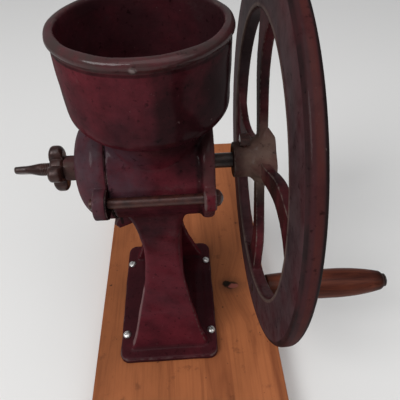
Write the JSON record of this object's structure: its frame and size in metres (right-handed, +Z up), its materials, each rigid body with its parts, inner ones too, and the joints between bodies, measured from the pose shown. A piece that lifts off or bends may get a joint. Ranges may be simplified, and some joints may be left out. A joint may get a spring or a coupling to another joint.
{
  "type": "coffee grinder mill",
  "caption": "Cast-iron hand coffee mill on a wooden board: open round hopper, waisted column, side flywheel with wooden handle and adjustable burrs.",
  "frame": {"origin": "on the board's underside, straight below the middle of the iron base plate and the shaft axis", "axes": "+X along the shaft towards the flywheel and handle, +Y along the board away from the operator's side, +Z up"},
  "size_m": [0.3398, 0.478, 0.4045],
  "materials": {
    "varnished_pine": "worn varnish",
    "oxblood_paint": "aged satin paint over cast iron",
    "wheel_paint": "worn dark paint over cast iron",
    "dark_iron": "bare browned iron",
    "bright_steel": "bright",
    "worn_steel": "oiled",
    "burr_iron": "ground",
    "bush_brass": "dull",
    "turned_wood": "polished by use"
  },
  "bodies": {
    "stand": {"wooden_board": "varnished_pine", "base_screws": "bright_steel", "mill_body": "oxblood_paint", "end_cover": "oxblood_paint", "tie_bolts": "dark_iron", "shaft_bush": "bush_brass", "fixed_burr": "burr_iron", "fixed_burr_screws": "worn_steel"},
    "thrust": {"thrust_button": "worn_steel"},
    "adjuster": {"adjusting_screw": "dark_iron"},
    "locking": {"lock_nut": "dark_iron"},
    "rotor": {"drive_shaft": "worn_steel", "feed_auger": "burr_iron", "auger_pin": "worn_steel", "moving_burr": "burr_iron", "burr_pin": "worn_steel", "flywheel": "wheel_paint", "hub_set_screw": "dark_iron", "handle_spindle": "worn_steel", "handle_washer": "dark_iron"},
    "grip": {"handle_grip": "turned_wood"}
  },
  "joints": [
    {"name": "thrust_slide", "type": "slide", "parent": "stand", "child": "thrust", "axis": [1, 0, 0], "range_m": [-0.001, 0.00045]},
    {"name": "screw_turn", "type": "hinge", "parent": "thrust", "child": "adjuster", "pos_m": [-0.09, 0, 0.25], "axis": [1, 0, 0], "range_deg": [-240.5, 108.5]},
    {"name": "lock_nut_turn", "type": "hinge", "parent": "stand", "child": "locking", "pos_m": [-0.079, 0, 0.25], "axis": [1, 0, 0], "range_deg": [-180, 0]},
    {"name": "wheel_spin", "type": "hinge", "parent": "thrust", "child": "rotor", "pos_m": [0.09, 0, 0.25], "axis": [1, 0, 0], "continuous": true},
    {"name": "grip_spin", "type": "hinge", "parent": "rotor", "child": "grip", "pos_m": [0.16, -0.05095, 0.1239], "axis": [1, 0, 0], "continuous": true}
  ],
  "couplings": [
    {"joint": "screw_turn", "follows": "thrust_slide", "rad_per_m": 4188.8}
  ]
}
